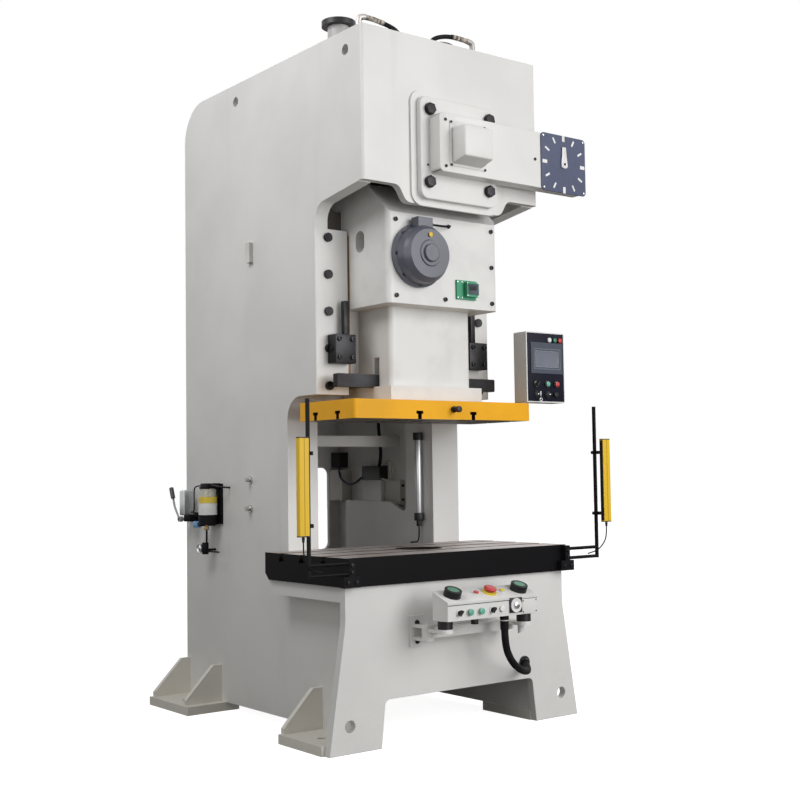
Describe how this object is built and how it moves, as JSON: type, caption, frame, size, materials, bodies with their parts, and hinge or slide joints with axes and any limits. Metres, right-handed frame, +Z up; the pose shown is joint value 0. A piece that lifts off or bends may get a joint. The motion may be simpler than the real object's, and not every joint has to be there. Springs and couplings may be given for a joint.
{
  "type": "mechanical stamping press",
  "caption": "C-frame mechanical power press: a crank lowers a guided slide over a T-slotted bolster; welded frame, flywheel drive, two-hand console and light curtains.",
  "frame": {"origin": "on the floor, in the middle of the four foundation bolt holes", "axes": "+Z up, +Y from the operator's side to the back, +X to the operator's right; slide at the top of its stroke"},
  "size_m": [1.852, 2.003, 3.388],
  "materials": {
    "frame_paint": "semi-gloss off-white machine enamel",
    "black_paint": "satin black enamel",
    "yellow_paint": "semi-gloss safety yellow enamel",
    "motor_grey": "semi-gloss grey enamel",
    "black_steel": "blackened steel",
    "machined_steel": "ground and oiled",
    "cast_iron": "machined cast iron",
    "bronze": "turned bronze",
    "chrome": "plated",
    "lamp_alloy": "satin extrusion",
    "belt_rubber": "matt rubber",
    "dial_face": "dark printed panel",
    "pointer_white": "white enamel",
    "button_green": "moulded",
    "button_red": "moulded",
    "switch_black": "moulded",
    "panel_grey": "fine-texture dark grey powder coat",
    "counter_green": "moulded",
    "oil_bowl": "clear bowl with oil"
  },
  "bodies": {
    "frame": {"frame_side_left": "frame_paint", "frame_side_right": "frame_paint", "frame_head_front": "frame_paint", "frame_cross_plates": "frame_paint", "frame_rear_plate": "frame_paint", "throat_columns": "frame_paint", "frame_bed": "frame_paint", "frame_apron": "frame_paint", "frame_feet": "frame_paint", "bearing_cap": "frame_paint", "shaft_bushes": "bronze", "drive_cover": "frame_paint", "angle_dial": "dial_face", "gib_plates": "frame_paint", "gib_liners": "bronze", "knockout_stops": "black_steel", "balance_cylinders": "frame_paint", "drive_motor": "motor_grey", "drive_belts": "belt_rubber", "rear_guard": "frame_paint", "bolster": "black_paint", "curtain_posts": "black_paint", "light_curtains": "yellow_paint", "work_lamp": "lamp_alloy", "air_panel": "lamp_alloy", "lubricator_pump": "black_paint", "oil_reservoir": "oil_bowl", "pipe_fittings": "chrome", "control_brackets": "frame_paint", "console_hose": "belt_rubber"},
    "crank": {"crankshaft": "machined_steel", "main_gear": "cast_iron"},
    "rod": {"connecting_rod": "cast_iron", "rod_cap": "cast_iron"},
    "drive_shaft": {"pinion_shaft": "machined_steel", "clutch_brake": "cast_iron"},
    "flywheel": {"flywheel": "cast_iron"},
    "motor_pulley": {"motor_pulley": "cast_iron"},
    "dial_pointer": {"dial_pointer": "pointer_white"},
    "slide": {"slide_body": "frame_paint", "slide_plate": "yellow_paint", "adjust_motor": "motor_grey", "height_counter": "counter_green"},
    "adjust_nut": {"adjust_nut": "bronze"},
    "adjust_worm": {"adjust_worm": "machined_steel"},
    "knockout_bar": {"knockout_bar": "black_steel"},
    "console": {"console_box": "frame_paint", "console_arm": "black_paint"},
    "palm_button_left": {"palm_button_left": "button_green"},
    "palm_button_right": {"palm_button_right": "button_green"},
    "stop_button": {"stop_button": "button_red"},
    "console_selector_left": {"console_selector_left": "switch_black"},
    "console_selector_right": {"console_selector_right": "switch_black"},
    "console_button_left": {"console_button_left": "button_green"},
    "console_button_right": {"console_button_right": "button_green"},
    "pendant": {"pendant_box": "panel_grey"},
    "pendant_selector": {"pendant_selector": "switch_black"},
    "pendant_start_button": {"pendant_start_button": "button_green"},
    "pendant_stop_button": {"pendant_stop_button": "button_red"},
    "lubricator_lever": {"lubricator_lever": "machined_steel"}
  },
  "joints": [
    {"name": "crank_turn", "type": "hinge", "parent": "frame", "child": "crank", "pos_m": [0, -0.415, 2.693], "axis": [0, 1, 0], "range_deg": [0, 180]},
    {"name": "rod_swing", "type": "hinge", "parent": "crank", "child": "rod", "pos_m": [0, -0.5675, 2.793], "axis": [0, 1, 0], "range_deg": [-180, 0]},
    {"name": "slide_stroke", "type": "slide", "parent": "frame", "child": "slide", "axis": [0, 0, -1], "range_m": [0, 0.2]},
    {"name": "pinion_turn", "type": "hinge", "parent": "frame", "child": "drive_shaft", "pos_m": [0, -0.115, 2.199], "axis": [0, 1, 0], "range_deg": [-680, 5]},
    {"name": "dial_turn", "type": "hinge", "parent": "frame", "child": "dial_pointer", "pos_m": [0.602, -0.931, 2.693], "axis": [0, 1, 0], "range_deg": [-1, 181]},
    {"name": "flywheel_spin", "type": "hinge", "parent": "frame", "child": "flywheel", "pos_m": [0, 0.46, 2.199], "axis": [0, 1, 0], "continuous": true},
    {"name": "motor_pulley_spin", "type": "hinge", "parent": "frame", "child": "motor_pulley", "pos_m": [0, 0.46, 2.749], "axis": [0, 1, 0], "continuous": true},
    {"name": "adjust_nut_turn", "type": "hinge", "parent": "slide", "child": "adjust_nut", "pos_m": [0, -0.5675, 2.195], "axis": [0, 0, 1], "continuous": true},
    {"name": "adjust_worm_spin", "type": "hinge", "parent": "slide", "child": "adjust_worm", "pos_m": [-0.165, -0.5675, 2.195], "axis": [0, 1, 0], "continuous": true},
    {"name": "knockout_lift", "type": "slide", "parent": "slide", "child": "knockout_bar", "axis": [0, 0, 1], "range_m": [0, 0.034]},
    {"name": "console_swing", "type": "hinge", "parent": "frame", "child": "console", "pos_m": [-0.262, -0.89, 0.489], "axis": [0, 0, 1], "range_deg": [-25, 0], "deforming": ["console_hose"]},
    {"name": "palm_left_press", "type": "slide", "parent": "console", "child": "palm_button_left", "axis": [0, 0.3684, -0.9297], "range_m": [0, 0.005], "stiffness_N_per_m": 1000, "springref_m": -0.004},
    {"name": "palm_right_press", "type": "slide", "parent": "console", "child": "palm_button_right", "axis": [0, 0.3684, -0.9297], "range_m": [0, 0.005], "stiffness_N_per_m": 1000, "springref_m": -0.004},
    {"name": "stop_press", "type": "slide", "parent": "console", "child": "stop_button", "axis": [0, 0.3684, -0.9297], "range_m": [0, 0.005], "stiffness_N_per_m": 1000, "springref_m": -0.004},
    {"name": "console_select_left", "type": "hinge", "parent": "console", "child": "console_selector_left", "pos_m": [-0.227, -1.065, 0.587], "axis": [0, 1, 0], "range_deg": [-45, 45]},
    {"name": "console_select_right", "type": "hinge", "parent": "console", "child": "console_selector_right", "pos_m": [-0.037, -1.065, 0.587], "axis": [0, 1, 0], "range_deg": [-45, 45]},
    {"name": "console_press_left", "type": "slide", "parent": "console", "child": "console_button_left", "axis": [0, 1, 0], "range_m": [0, 0.003], "stiffness_N_per_m": 1000, "springref_m": -0.004},
    {"name": "console_press_right", "type": "slide", "parent": "console", "child": "console_button_right", "axis": [0, 1, 0], "range_m": [0, 0.003], "stiffness_N_per_m": 1000, "springref_m": -0.004},
    {"name": "pendant_swivel", "type": "hinge", "parent": "frame", "child": "pendant", "pos_m": [0.552, -0.665, 1.7], "axis": [0, 0, 1], "range_deg": [-45, 45]},
    {"name": "pendant_select", "type": "hinge", "parent": "pendant", "child": "pendant_selector", "pos_m": [0.589, -0.715, 1.628], "axis": [0, 1, 0], "range_deg": [-45, 45]},
    {"name": "pendant_start_press", "type": "slide", "parent": "pendant", "child": "pendant_start_button", "axis": [0, 1, 0], "range_m": [0, 0.003], "stiffness_N_per_m": 1000, "springref_m": -0.004},
    {"name": "pendant_stop_press", "type": "slide", "parent": "pendant", "child": "pendant_stop_button", "axis": [0, 1, 0], "range_m": [0, 0.003], "stiffness_N_per_m": 1000, "springref_m": -0.004},
    {"name": "lever_pull", "type": "hinge", "parent": "frame", "child": "lubricator_lever", "pos_m": [-0.596, 0.786, 0.966], "axis": [1, 0, 0], "range_deg": [-50, 0]}
  ],
  "couplings": [
    {"joint": "rod_swing", "follows": "crank_turn", "ratio": -1},
    {"joint": "slide_stroke", "follows": "crank_turn", "m_per_rad": 0.063662},
    {"joint": "pinion_turn", "follows": "crank_turn", "ratio": -3.75},
    {"joint": "dial_turn", "follows": "crank_turn", "ratio": 1},
    {"joint": "motor_pulley_spin", "follows": "flywheel_spin", "ratio": 5.0588},
    {"joint": "adjust_worm_spin", "follows": "adjust_nut_turn", "ratio": 20}
  ]
}
